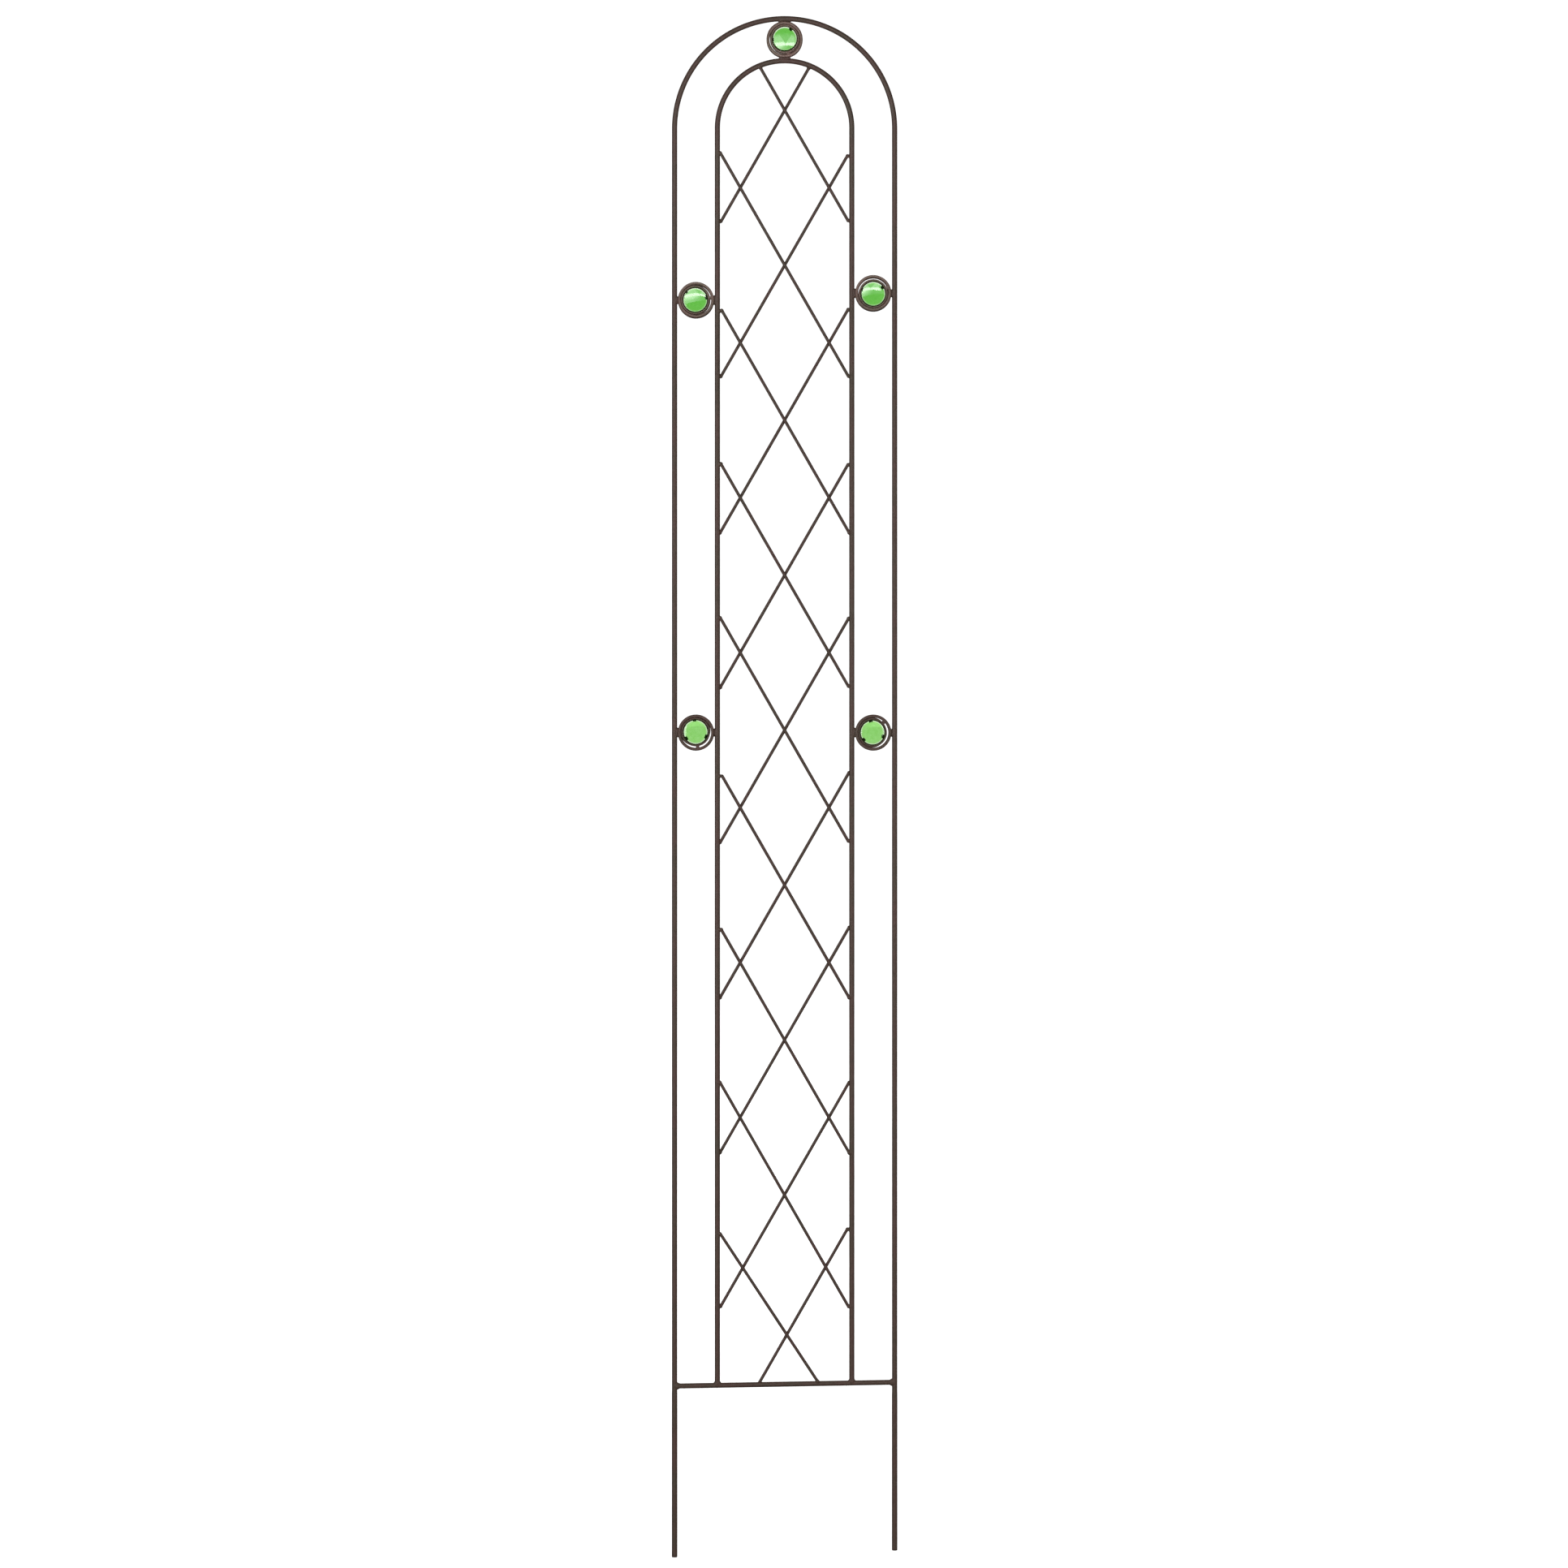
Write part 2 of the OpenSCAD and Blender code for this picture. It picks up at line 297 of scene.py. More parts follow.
def arch_path(x, apex, left_foot, right_foot, step=2.5):
    """The axis of a frame bar, from its left foot over the arch to its right foot."""
    spring = apex - x
    count = int(math.pi * x / 1.6)
    turn = np.linspace(math.pi, 0, count)
    arc = np.stack([x * np.cos(turn), np.zeros(count), spring + x * np.sin(turn)], 1)
    left = line((-x, 0, left_foot), (-x, 0, spring), step)[:-1]
    right = line((x, 0, spring), (x, 0, right_foot), step)[1:]
    return np.vstack([left, arc, right])


# ---------------------------------------------------------------- welds as distance fields


def cylinder_field(p, a, b, r):
    """Distance to a cylinder with flat ends."""
    a, b = np.asarray(a, float), np.asarray(b, float)
    length = np.linalg.norm(b - a)
    axis = (b - a) / length
    t = (p - a) @ axis
    radial = np.linalg.norm(p - a - t[..., None] * axis, axis=-1) - r
    axial = np.abs(t - length / 2) - length / 2
    outside = np.hypot(np.maximum(radial, 0), np.maximum(axial, 0))
    return outside + np.minimum(np.maximum(radial, axial), 0)


def arch_field(p, x, apex):
    """Distance to a frame's round arch."""
    out = np.hypot(p[..., 0], p[..., 2] - (apex - x)) - x
    return np.hypot(out, p[..., 1]) - ROD_R


def ball_field(p, centre, size):
    """Roughly the distance to an ellipsoid with the given half sizes."""
    size = np.asarray(size, float)
    q = (p - np.asarray(centre)) / size
    return (np.linalg.norm(q, axis=-1) - 1) * size.min()


def band_field(p, x, z, r, wall, depth, rounding):
    """Distance to a round band whose axis runs front to back."""
    radial = np.abs(np.hypot(p[..., 0] - x, p[..., 2] - z) - (r - wall / 2)) - wall / 2 + rounding
    axial = np.abs(p[..., 1]) - depth / 2 + rounding
    outside = np.hypot(np.maximum(radial, 0), np.maximum(axial, 0))
    return outside + np.minimum(np.maximum(radial, axial), 0) - rounding


def blend_fields(a, b, k):
    """The union of two fields with a fillet of about size k."""
    h = np.clip(0.5 + 0.5 * (b - a) / k, 0, 1)
    return b + (a - b) * h - k * h * (1 - h)


def surface(field, origin, step):
    """The zero surface of a field on a grid, as quads."""
    solid = field < 0
    shape = np.array(field.shape) - 1
    corners = [(i, j, k) for i in (0, 1) for j in (0, 1) for k in (0, 1)]

    def shifted(a, c):
        return a[c[0]:c[0] + shape[0], c[1]:c[1] + shape[1], c[2]:c[2] + shape[2]]

    count = sum(shifted(solid, c).astype(np.int8) for c in corners)
    mixed = (count > 0) & (count < 8)
    total, hits = np.zeros((*shape, 3)), np.zeros(shape)
    for axis in range(3):
        for c in corners:
            if c[axis]:
                continue
            d = list(c)
            d[axis] = 1
            fa, fb = shifted(field, c), shifted(field, d)
            cut = (fa < 0) != (fb < 0)
            t = np.where(cut, fa / np.where(cut, fa - fb, 1), 0)
            for k in range(3):
                total[..., k] += np.where(cut, c[k] + (t if k == axis else 0), 0)
            hits += cut
    index = np.full(shape, -1)
    index[mixed] = np.arange(mixed.sum())
    cells = np.argwhere(mixed)
    verts = origin + step * (cells + total[mixed] / hits[mixed][:, None])
    faces = []
    for axis in range(3):
        u, v = (axis + 1) % 3, (axis + 2) % 3
        low = [slice(1, -1)] * 3
        low[axis] = slice(0, -1)
        high = list(low)
        high[axis] = slice(1, None)
        sa, sb = solid[tuple(low)], solid[tuple(high)]
        for flip, where in ((False, sa & ~sb), (True, ~sa & sb)):
            at = np.argwhere(where)
            offset = np.ones(3, int)
            offset[axis] = 0
            at = at + offset
            quad = []
            for du, dv in ((0, 0), (-1, 0), (-1, -1), (0, -1)):
                cell = at.copy()
                cell[:, u] += du
                cell[:, v] += dv
                quad.append(index[cell[:, 0], cell[:, 1], cell[:, 2]])
            quad = np.stack(quad, 1)
            faces.extend((quad[:, ::-1] if flip else quad).tolist())
    return verts, faces


def bridge(a, b, r):
    """A round-ended run of weld metal between two points."""
    a, b = np.asarray(a, float), np.asarray(b, float)

    def field(p):
        t = np.clip((p - a) @ (b - a) / ((b - a) @ (b - a)), 0, 1)
        return np.linalg.norm(p - a - t[..., None] * (b - a), axis=-1) - r

    return field


def weld(centre, reach, members, blobs, fillet, seed, rough=0.16):
    """A lumpy weld that grows out of the bars it joins and sinks back into them at its edge."""
    step = WELD_STEP
    n = int(2 * reach / step) + 3
    origin = np.asarray(centre, float) - step * (n - 1) / 2
    axis = np.arange(n) * step
    p = origin + np.stack(np.meshgrid(axis, axis, axis, indexing="ij"), -1)
    field = members[0](p)
    for m in members[1:]:
        field = blend_fields(field, m(p), fillet)
    near = np.zeros(field.shape)
    for place, size in blobs:
        blob = ball_field(p, place, size)
        near = np.maximum(near, np.clip(1 - blob / 2.2, 0, 1))
        field = blend_fields(field, blob, fillet * 0.7)
    away = np.linalg.norm(p - np.asarray(centre), axis=-1) / reach
    fade = np.clip((away - 0.45) / 0.45, 0, 1)
    fade = fade * fade * (3 - 2 * fade)
    skin = (SKIN_RISE * near - SKIN_SINK) * (1 - fade) - EDGE_SINK * fade
    lump = rough * (waves(p, 3.4, seed) * 0.7 + waves(p, 1.5, seed + 5) * 0.35) * (1 - fade)
    field = field - skin - lump * (0.25 + 0.75 * near)
    field = np.maximum(field, (away - 0.97) * reach)
    return surface(field, origin, step)


def joined(parts):
    """Several meshes as one."""
    verts, faces, base = [], [], 0
    for v, f in parts:
        verts.append(v)
        faces.extend([tuple(i + base for i in face) for face in f])
        base += len(v)
    return np.vstack(verts), faces


# ---------------------------------------------------------------- materials


def new_material(name):
    material = bpy.data.materials.new(name)
    material.use_nodes = True
    nodes, links = material.node_tree.nodes, material.node_tree.links
    nodes.clear()
    return material, nodes, links


def noise(nodes, links, where, scale, detail, roughness=0.5):
    node = nodes.new("ShaderNodeTexNoise")
    node.inputs["Scale"].default_value = scale
    node.inputs["Detail"].default_value = detail
    node.inputs["Roughness"].default_value = roughness
    links.new(where, node.inputs["Vector"])
    return node.outputs["Fac"]


def ramp(nodes, links, factor, stops):
    node = nodes.new("ShaderNodeValToRGB")
    elements = node.color_ramp.elements
    while len(elements) < len(stops):
        elements.new(0.5)
    for element, (place, colour) in zip(elements, stops):
        element.position = place
        element.color = (*colour, 1)
    links.new(factor, node.inputs["Fac"])
    return node.outputs["Color"]


def mix_colour(nodes, links, factor, a, b, blend="MIX"):
    node = nodes.new("ShaderNodeMix")
    node.data_type = "RGBA"
    node.blend_type = blend
    if isinstance(factor, float):
        node.inputs["Factor"].default_value = factor
    else:
        links.new(factor, node.inputs["Factor"])
    links.new(a, node.inputs["A"])
    links.new(b, node.inputs["B"])
    return node.outputs["Result"]


def scaled(nodes, links, value, low, high):
    node = nodes.new("ShaderNodeMapRange")
    node.inputs["From Min"].default_value = 0.25
    node.inputs["From Max"].default_value = 0.75
    node.inputs["To Min"].default_value = low
    node.inputs["To Max"].default_value = high
    links.new(value, node.inputs["Value"])
    return node.outputs["Result"]


def arithmetic(nodes, links, operation, *values):
    node = nodes.new("ShaderNodeMath")
    node.operation = operation
    for socket, value in zip(node.inputs, values):
        if isinstance(value, (int, float)):
            socket.default_value = value
        else:
            links.new(value, socket)
    return node.outputs[0]


def roughen(nodes, links, shader, height, strength, distance):
    """Gives a shader fine relief; the distance is in metres."""
    bump = nodes.new("ShaderNodeBump")
    bump.inputs["Strength"].default_value = strength
    bump.inputs["Distance"].default_value = distance
    links.new(height, bump.inputs["Height"])
    links.new(bump.outputs["Normal"], shader.inputs["Normal"])


def powder_coat(name, tone, roughness, grain):
    """Dark brown powder coat: drifting brown, plum and olive, a fine orange peel and tiny pits."""
    material, nodes, links = new_material(name)
    where = nodes.new("ShaderNodeTexCoord").outputs["Object"]
    drift = noise(nodes, links, where, 34, 3)
    patch = noise(nodes, links, where, 190, 4, 0.6)
    peel = noise(nodes, links, where, 1500, 3, 0.55)
    speck = noise(nodes, links, where, 4200, 2)
    brown = [c * tone for c in (0.079, 0.0515, 0.0405)]
    plum = [c * tone for c in (0.096, 0.0500, 0.0450)]
    olive = [c * tone for c in (0.066, 0.0555, 0.0390)]
    dark = [c * tone for c in (0.051, 0.0370, 0.0300)]
    base = ramp(nodes, links, drift, [(0.3, olive), (0.5, brown), (0.7, plum)])
    shade = ramp(nodes, links, patch, [(0.3, dark), (0.5, brown), (0.75, plum)])
    colour = mix_colour(nodes, links, 0.4, base, shade)
    dust = ramp(nodes, links, speck, [(0.35, (0.75, 0.75, 0.75)), (0.65, (1.2, 1.18, 1.15))])
    dusty = mix_colour(nodes, links, 1.0, colour, dust, "MULTIPLY")
    colour = mix_colour(nodes, links, 0.5, colour, dusty)
    shader = nodes.new("ShaderNodeBsdfPrincipled")
    links.new(colour, shader.inputs["Base Color"])
    links.new(scaled(nodes, links, patch, roughness - 0.05, roughness + 0.08), shader.inputs["Roughness"])
    shader.inputs["Specular IOR Level"].default_value = 0.42
    height = arithmetic(nodes, links, "MULTIPLY_ADD", speck, 0.3, peel)
    roughen(nodes, links, shader, height, grain, 0.00006)
    out = nodes.new("ShaderNodeOutputMaterial")
    links.new(shader.outputs["BSDF"], out.inputs["Surface"])
    return material


def green_glass(name, tint, absorbed, density):
    """Pressed green glass: deeper in its middle, with faint cords, and a painted pale highlight along its
    rounded rim for the light its thin edge refracts.
    """
    material, nodes, links = new_material(name)
    where = nodes.new("ShaderNodeTexCoord").outputs["Object"]
    ripple = noise(nodes, links, where, 150, 2)
    cords = noise(nodes, links, where, 260, 3, 0.6)
    edge = nodes.new("ShaderNodeAttribute")
    edge.attribute_name = "edge"
    # Painted highlight: the base colour turns almost white over the outer rim, in place of light
    # refracted through the thin rounded edge.
    rim_highlight_colour = (0.97, 1.0, 0.94)
    rim = ramp(nodes, links, edge.outputs["Fac"], [(0.0, tint), (0.85, tint), (0.91, rim_highlight_colour), (1.0, rim_highlight_colour)])
    cloud = ramp(nodes, links, cords, [(0.38, (0.84, 0.93, 0.74)), (0.62, (1, 1, 1))])
    colour = mix_colour(nodes, links, 1.0, rim, cloud, "MULTIPLY")
    shader = nodes.new("ShaderNodeBsdfPrincipled")
    links.new(colour, shader.inputs["Base Color"])
    shader.inputs["Transmission Weight"].default_value = 1.0
    shader.inputs["Roughness"].default_value = 0.0
    shader.inputs["IOR"].default_value = 1.5
    roughen(nodes, links, shader, ripple, 0.15, 0.0002)
    absorb = nodes.new("ShaderNodeVolumeAbsorption")
    absorb.inputs["Color"].default_value = (*absorbed, 1)
    absorb.inputs["Density"].default_value = density
    out = nodes.new("ShaderNodeOutputMaterial")
    links.new(shader.outputs["BSDF"], out.inputs["Surface"])
    links.new(absorb.outputs["Volume"], out.inputs["Volume"])
    return material


bar_coat = powder_coat("bar_coat", 1.05, 0.38, 0.35)
wire_coat = powder_coat("wire_coat", 0.98, 0.40, 0.35)
# Rings and bezels take a lighter copy of the same coat: painted light, for the light that their faces
# catch.
band_coat = powder_coat("band_coat", 1.15, 0.36, 0.35)
weld_coat = powder_coat("weld_coat", 1.08, 0.40, 0.5)
gem_glass = {
    "lower": green_glass("gem_glass_light", (0.35, 0.67, 0.24), (0.42, 0.85, 0.30), 45.0),
    "upper": green_glass("gem_glass_deep", (0.20, 0.57, 0.12), (0.26, 0.76, 0.12), 50.0),
}


# ---------------------------------------------------------------- bars and wires


def build_bars():
    path = arch_path(OUTER_X, OUTER_APEX, 0.0, RIGHT_FOOT)
    height = path[:, 2]
    radii = np.interp(height, [LEG_TOP, LEG_TOP + LEG_TAPER], [LEG_R, ROD_R])
    path, radii = soften_ends(path, radii)
    make_piece("outer_frame_bar", *tube(path, radii, BAR_SIDES, BAR_COAT, SEEDS["outer bar"]),
               bar_coat, ["outer_frame_rod"], "coated_bar")
    foot = [bar_z(side * INNER_X) + ROD_R - 1 for side in (-1, 1)]
    path = arch_path(INNER_X, INNER_APEX, *foot)
    radii = np.full(len(path), ROD_R)
    make_piece("inner_frame_bar", *tube(path, radii, BAR_SIDES, BAR_COAT, SEEDS["inner bar"]),
               bar_coat, ["inner_frame_rod"], "coated_bar")
    end = OUTER_X - ROD_R * 0.6
    path = line((-end, 0, bar_z(-end)), (end, 0, bar_z(end)), 2.5)
    radii = np.full(len(path), CROSSBAR_R)
    make_piece("cross_bar", *tube(path, radii, BAR_SIDES, BAR_COAT, SEEDS["crossbar"]),
               bar_coat, ["crossbar"], "coated_bar")


def build_wires():
    for side, layer in ((-1, "front"), (1, "back")):
        for row in range(1, ROWS + 1):
            path = line(*wire_ends(side, row), 1.5)
            path, radii = soften_ends(path, np.full(len(path), WIRE_R), 0.25)
            mesh = tube(path, radii, WIRE_SIDES, WIRE_COAT, SEEDS["wires"] + row + 10 * (side > 0))
            make_piece(f"{layer}_lattice_wire_{row}", *mesh, wire_coat,
                       [f"{layer}_wire_{row}"], "coated_wire")


# ---------------------------------------------------------------- gems


def revolve(profile, x, z, sides, uneven, seed):
    """A ring or disc from a profile of (radius, depth) points, with its axis running front to back."""
    profile = np.asarray(profile, float)
    angle = np.arange(sides) / sides * 2 * math.pi
    r = profile[:, 0][None, :]
    points = np.stack([
        x + r * np.cos(angle)[:, None],
        np.broadcast_to(profile[:, 1][None, :], (sides, len(profile))),
        z + r * np.sin(angle)[:, None],
    ], -1)
    outward = (points - np.array([x, 0, z])) * np.array([1, 0, 1])
    outward /= np.maximum(np.linalg.norm(outward, axis=-1), 1e-6)[..., None]
    shift = uneven * (0.7 * waves(points, 13, seed) + 0.3 * waves(points, 4, seed + 1)) - uneven
    return points + outward * shift[..., None]


def band_profile(r, wall, depth, rounding, steps=5):
    """The rounded section of a slice of tube, as a closed loop of (radius, depth)."""
    loop = []
    inner, outer, half = r - wall + rounding, r - rounding, depth / 2 - rounding
    corners = [(outer, half, 0), (inner, half, 90), (inner, -half, 180), (outer, -half, 270)]
    for cr, cy, start in corners:
        for i in range(steps + 1):
            a = math.radians(start + 90 * i / steps)
            loop.append((cr + rounding * math.cos(a), cy + rounding * math.sin(a)))
    return densified(loop[::-1])


def bezel_profile():
    """The bezel's section: a narrow front lip, then an inner wall that closes in on the glass."""
    r, inner, half = BEZEL_R, BEZEL_R - BEZEL_WALL, BEZEL_DEPTH / 2
    lip = inner + 0.7
    rim = [(r, -half + 0.9), (r - 0.12, -half + 0.45), (r - 0.4, -half + 0.14), (r - 0.8, -half)]
    front = [(lip + 0.3, -half), (lip + 0.08, -half + 0.12), (lip - 0.05, -half + 0.4)]
    bore = [(inner + 0.25, -2.4), (inner, -1.7), (inner, 0.9), (inner - 0.45, 1.7)]
    back = [(inner - 0.45, half - 0.5), (inner - 0.25, half - 0.1), (inner + 0.2, half)]
    heel = [(r - 0.6, half), (r - 0.2, half - 0.1), (r, half - 0.5)]
    return densified(rim + front + bore + back + heel)


def densified(loop, step=0.9):
    """A closed loop of points with no stretch longer than about the step."""
    dense = []
    for (r0, y0), (r1, y1) in zip(loop, loop[1:] + loop[:1]):
        count = max(1, int(math.hypot(r1 - r0, y1 - y0) / step))
        dense += [(r0 + (r1 - r0) * i / count, y0 + (y1 - y0) * i / count) for i in range(count)]
    return dense[::-1]


def band_mesh(x, z, profile, seed):
    points = revolve(profile, x, z, 160, 0.05, seed)
    sides, n = points.shape[:2]
    return points.reshape(-1, 3), grid_faces(sides, n, closed_rings=True)


def tab_mesh(x, z, angle, size, seed):
    """A small hammered tab behind the glass, reaching in from the bezel; no two are alike."""
    rng = np.random.default_rng(seed)
    a = math.radians(angle)
    reach, half = size * rng.uniform(3.9, 4.6), size * rng.uniform(1.7, 2.4)
    root = BEZEL_R - BEZEL_WALL + 0.3
    seat = min(glass_back((root - reach) / GLASS_R) + 0.5, BEZEL_DEPTH / 2 - 0.5)
    step = 0.3
    n = 26
    axis = (np.arange(n) - (n - 1) / 2) * step
    u, v, w = np.meshgrid(axis, axis, axis, indexing="ij")
    skew = v + 0.25 * u * rng.uniform(-1, 1)
    d = np.stack([np.abs(u) - reach / 2 + 0.5, np.abs(skew) - half + 0.5, np.abs(w) - 0.15], -1)
    field = np.linalg.norm(np.maximum(d, 0), axis=-1) + np.minimum(d.max(-1), 0) - 0.45
    outline_waves = 0.3 * waves(np.stack([u, v, w * 0], -1), 3, seed)
    hammer_marks = 0.08 * waves(np.stack([u, v, w], -1), 1.6, seed + 1)
    field = field + outline_waves + hammer_marks
    verts, faces = surface(field, np.full(3, axis[0]), step)
    out = root - reach / 2 + verts[:, 0]
    across = verts[:, 1]
    return np.stack([
        x + out * math.cos(a) - across * math.sin(a),
        seat + verts[:, 2],
        z + out * math.sin(a) + across * math.cos(a),
    ], 1), [f[::-1] for f in faces]


def glass_half(share, power):
    """Half the glass's thickness at a share of its radius: a dome on a rim with a rounded edge."""
    sag = (GLASS_THICK - GLASS_RIM) / 2
    rounded = GLASS_EDGE * math.sqrt(1 - share ** 40)
    return GLASS_RIM / 2 - GLASS_EDGE + sag * (1 - share ** power) + rounded


def glass_front(share):
    return glass_half(share, 2)


def glass_back(share):
    """The back is a flatter pillow, where the tabs press."""
    return glass_half(share, 3)


def glass_mesh(x, z, seed):
    """A pressed nugget: a domed front, a pillowed back and a fully rounded rim."""
    shares = [math.sin(math.pi / 2 * i / 36) ** 0.8 for i in range(37)]
    profile = [(GLASS_R * s, -glass_front(s)) for s in shares]
    profile += [(GLASS_R * s, glass_back(s)) for s in shares[::-1]]
    points = revolve(profile[1:-1], x, z, 128, 0.03, seed)
    sides, n = points.shape[:2]
    verts = np.vstack([points.reshape(-1, 3), [x, profile[0][1], z], [x, profile[-1][1], z]])
    faces = []
    for i in range(sides):
        a, b = i * n, ((i + 1) % sides) * n
        for j in range(n - 1):
            faces.append((a + j, a + j + 1, b + j + 1, b + j))
        faces.append((a, b, sides * n))
        faces.append((b + n - 1, a + n - 1, sides * n + 1))
    return verts, faces


def mark_rims(obj, x, z):
    """Stores how far out each point of a glass lies, for the painted highlight along its rim."""
    edge = obj.data.attributes.new("edge", "FLOAT", "POINT")
    out = [math.hypot(v.co.x / MM - x, v.co.z / MM - z) / GLASS_R for v in obj.data.vertices]
    edge.data.foreach_set("value", out)


def build_gems():
    """The bands, bezels and glasses; returns the bands and bezels."""
    bands = []
    ring_profile = band_profile(RING_R, RING_WALL, RING_DEPTH, RING_ROUND)
    for number, (name, _, tab, _) in enumerate(GEMS):
        x, z = ring_place(name)
        seed = SEEDS["gems"] + 10 * number
        ring = make_piece(f"gem_ring_{name}", *band_mesh(x, z, ring_profile, seed),
                          band_coat, [f"ring_{name}"], "coated_band")
        bx, bz = bezel_place(name)
        parts = [band_mesh(bx, bz, bezel_profile(), seed + 1)]
        kind = "lower" if "lower" in name else "upper"
        for turn, size in zip((0, 120, 240), TAB_SIZES[kind]):
            parts.append(tab_mesh(bx, bz, tab + turn, size, seed + turn))
        bezel = make_piece(f"gem_bezel_{name}", *joined(parts), band_coat,
                           [f"bezel_{name}"], "coated_band")
        bands += [ring, bezel]
        glass = make_piece(f"gem_glass_{name}", *glass_mesh(bx, bz, seed + 2),
                           gem_glass[kind], [f"glass_{name}"], "gem_glass")
        mark_rims(glass, bx, bz)
    return bands


# ---------------------------------------------------------------- welds


def post_member(x):
    return lambda p: cylinder_field(p, (x, 0, 0), (x, 0, OUTER_SPRING + 20), ROD_R)


def foot_member(x):
    """The lowest part of an inner post, down to the crossbar's axis."""
    return lambda p: cylinder_field(p, (x, 0, bar_z(x)), (x, 0, 400), ROD_R)


def bar_member(p):
    a, b = (-OUTER_X, 0, bar_z(-OUTER_X)), (OUTER_X, 0, bar_z(OUTER_X))
    return cylinder_field(p, a, b, CROSSBAR_R)


def inner_arch_member(p):
    return arch_field(p, INNER_X, INNER_APEX)


def outer_arch_member(p):
    return arch_field(p, OUTER_X, OUTER_APEX)


def wire_member(side, row):
    ends = wire_ends(side, row)
    return lambda p: cylinder_field(p, *ends, WIRE_R)


def end_weld(end, host, target, wire, seed):
    """One wire end run into its bar: a short bridge of metal with fillets and a lump or two."""
    rng = np.random.default_rng(seed)
    target = np.asarray(target, float)
    metal = bridge(end, target, rng.uniform(1.6, 1.8))
    lump = end + (target - end) * rng.uniform(0.35, 0.6) + rng.uniform(-0.5, 0.5, 3)
    blobs = [(lump, rng.uniform(1.3, 1.9, 3))]
    if rng.random() < 0.45:
        blobs.append((end, (2.05, 2.0, 2.05)))
    centre = end + (target - end) * 0.42
    return weld(centre, 6.4, [host, wire, metal], blobs, rng.uniform(1.0, 1.6), seed)


def build_wire_end_welds():
    parts = []
    for side in (-1, 1):
        for row in range(1, ROWS + 1):
            low, high = wire_ends(side, row)
            wire = wire_member(side, row)
            seed = SEEDS["wire ends"] + row * 7 + (side > 0) * 90
            post = side * INNER_X
            if row == 1:
                inward = (high - (0, 0, INNER_SPRING)) * (1, 0, 1)
                target = (0, 0, INNER_SPRING) + inward / np.linalg.norm(inward) * INNER_X
                parts.append(end_weld(high, inner_arch_member, target, wire, seed))
            else:
                target = (post, 0, high[2] - 1.1)
                parts.append(end_weld(high, post_member(post), target, wire, seed))
            if row == ROWS:
                x = low[0] - side * 0.3
                parts.append(end_weld(low, bar_member, (x, 0, bar_z(x)), wire, seed + 3))
            else:
                target = (-post, 0, low[2] + 0.9)
                parts.append(end_weld(low, post_member(-post), target, wire, seed + 3))
    make_piece("wire_end_beads", *joined(parts), weld_coat, ["wire_end_welds"], "coated_weld")


def build_crossing_welds():
    parts = []
    pairs = [(row, row) for row in range(1, ROWS + 1)]
    for row in range(2, ROWS + 1):
        pairs += [(row, row - 1), (row - 1, row)]
    for i, j in pairs:
        members = [wire_member(-1, i), wire_member(1, j)]
        seed = SEEDS["crossings"] + 13 * i + j
        parts.append(weld(crossing(i, j), 4.6, members, [], 1.15, seed, 0.08))
    make_piece("wire_crossing_nuggets", *joined(parts), weld_coat,
               ["wire_crossing_welds"], "coated_weld")


def ring_member(x, z):
    return lambda p: band_field(p, x, z, RING_R, RING_WALL, RING_DEPTH, RING_ROUND)


def bezel_member(x, z):
    return lambda p: band_field(p, x, z, BEZEL_R, BEZEL_WALL, BEZEL_DEPTH, 0.7)


def top_ring_welds(x, z):
    """Two long beads, to the outer arch above the top ring and to the inner arch below it."""
    parts = []
    for up, host, half in ((1, outer_arch_member, 5.0), (-1, inner_arch_member, 4.0)):
        centre = np.array([0.0, 0.0, z + up * (RING_R + 0.1)])
        blobs = []
        for share in (-1, -0.3, 0.4, 1):
            blobs.append((centre + (share * half, 0, up * 0.1), (2.6, 2.2, 1.1)))
        members = [ring_member(x, z), host]
        parts.append(weld(centre, 11.0, members, blobs, 1.8, SEEDS["top ring"] + up))
    return parts


def side_ring_welds(name, x, z, seed):
    """Two beads, to the inner and to the outer post beside a ring."""
    parts = []
    for outward in (-1, 1):
        post_x = math.copysign(OUTER_X if outward > 0 else INNER_X, x)
        face = post_x - math.copysign(ROD_R, x) * outward
        edge = x + math.copysign(RING_R, x) * outward
        centre = np.array([(face + edge) / 2, 0.0, z])
        heavy = 1.3 if (name == "lower_left") == (outward > 0) else 0.9
        blobs = [(centre + (0, 0, dz * heavy), (1.2, 2.1, 1.7 * heavy)) for dz in (-1.8, 0.4, 2.3)]
        members = [ring_member(x, z), post_member(post_x)]
        parts.append(weld(centre, 9.0, members, blobs, 2.1, seed + outward))
    return parts


def build_ring_welds():
    parts = []
    for number, (name, *_) in enumerate(GEMS):
        x, z = ring_place(name)
        if name == "top":
            parts += top_ring_welds(x, z)
        else:
            parts += side_ring_welds(name, x, z, SEEDS["side rings"] + number * 5)
    make_piece("ring_beads", *joined(parts), weld_coat, ["ring_welds"], "coated_weld")


